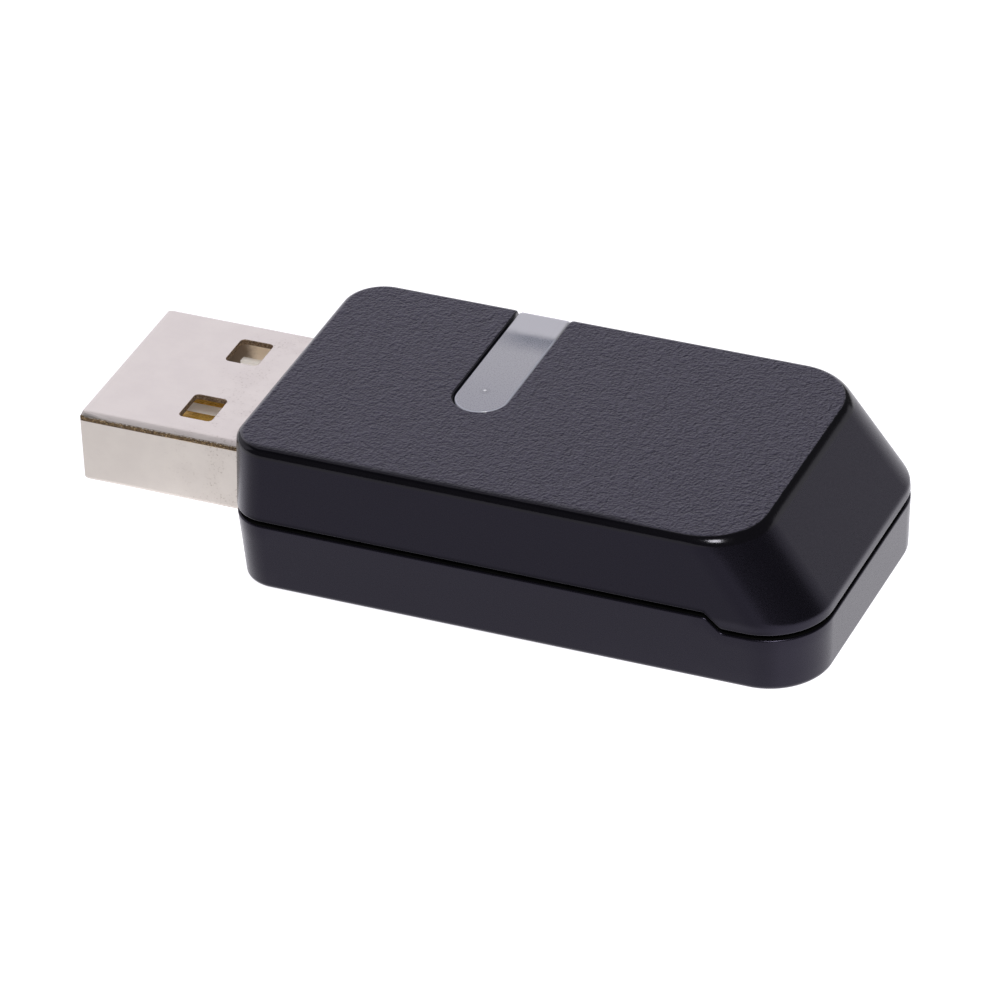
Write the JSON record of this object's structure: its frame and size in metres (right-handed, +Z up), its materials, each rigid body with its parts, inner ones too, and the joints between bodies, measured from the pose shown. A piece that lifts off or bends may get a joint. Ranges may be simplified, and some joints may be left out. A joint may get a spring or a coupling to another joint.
{
  "type": "usb wifi adapter",
  "caption": "Slim two-part plastic wifi adapter with a fixed USB-A plug, a sloped rear end, a shadow gap round the case and an inlaid light pipe.",
  "frame": {"origin": "on the case's flat underside plane, at the middle of the overall length and on the centreline", "axes": "+X from the plug's tip to the sloped rear end, +Y to the side where the light pipe reaches the edge, +Z up from the underside"},
  "size_m": [0.0452, 0.0192, 0.0093],
  "materials": {
    "case_plastic": "spark-eroded grain on the top, satin on the sides",
    "light_pipe": "frosted, translucent",
    "plug_nickel": "satin nickel plate",
    "tinned_steel": "matt tin",
    "contact_gold": "gold flash",
    "plug_resin": "moulded",
    "board": "solder mask",
    "copper": "plated copper",
    "chip_resin": "moulded",
    "ceramic": "fired",
    "resistor_glaze": "glazed",
    "ferrite": "sintered",
    "led_lens": "clear"
  },
  "bodies": {
    "root": {"upper_case": "case_plastic", "lower_case": "case_plastic", "light_pipe": "light_pipe", "plug_shell": "plug_nickel", "plug_insulator": "plug_resin", "contact_vbus": "contact_gold", "contact_d_minus": "contact_gold", "contact_d_plus": "contact_gold", "contact_ground": "contact_gold", "circuit_board": "board", "shield_frame": "tinned_steel", "shield_lid": "tinned_steel", "wifi_chip": "chip_resin", "crystal": "tinned_steel", "balun_main": "ceramic", "balun_auxiliary": "ceramic", "antenna_connector_main": "tinned_steel", "antenna_connector_auxiliary": "tinned_steel", "antenna_main": "copper", "antenna_auxiliary": "copper", "voltage_regulator": "chip_resin", "settings_memory": "chip_resin", "power_inductor": "ferrite", "ferrite_bead": "ferrite", "input_capacitor": "ceramic", "output_capacitor": "ceramic", "surge_protector": "chip_resin", "data_resistor_minus": "resistor_glaze", "data_resistor_plus": "resistor_glaze", "led_resistor": "resistor_glaze", "status_led": "led_lens", "decoupling_capacitor_1": "ceramic", "decoupling_capacitor_2": "ceramic", "decoupling_capacitor_3": "ceramic", "decoupling_capacitor_4": "ceramic", "decoupling_capacitor_5": "ceramic", "decoupling_capacitor_6": "ceramic"}
  },
  "joints": []
}
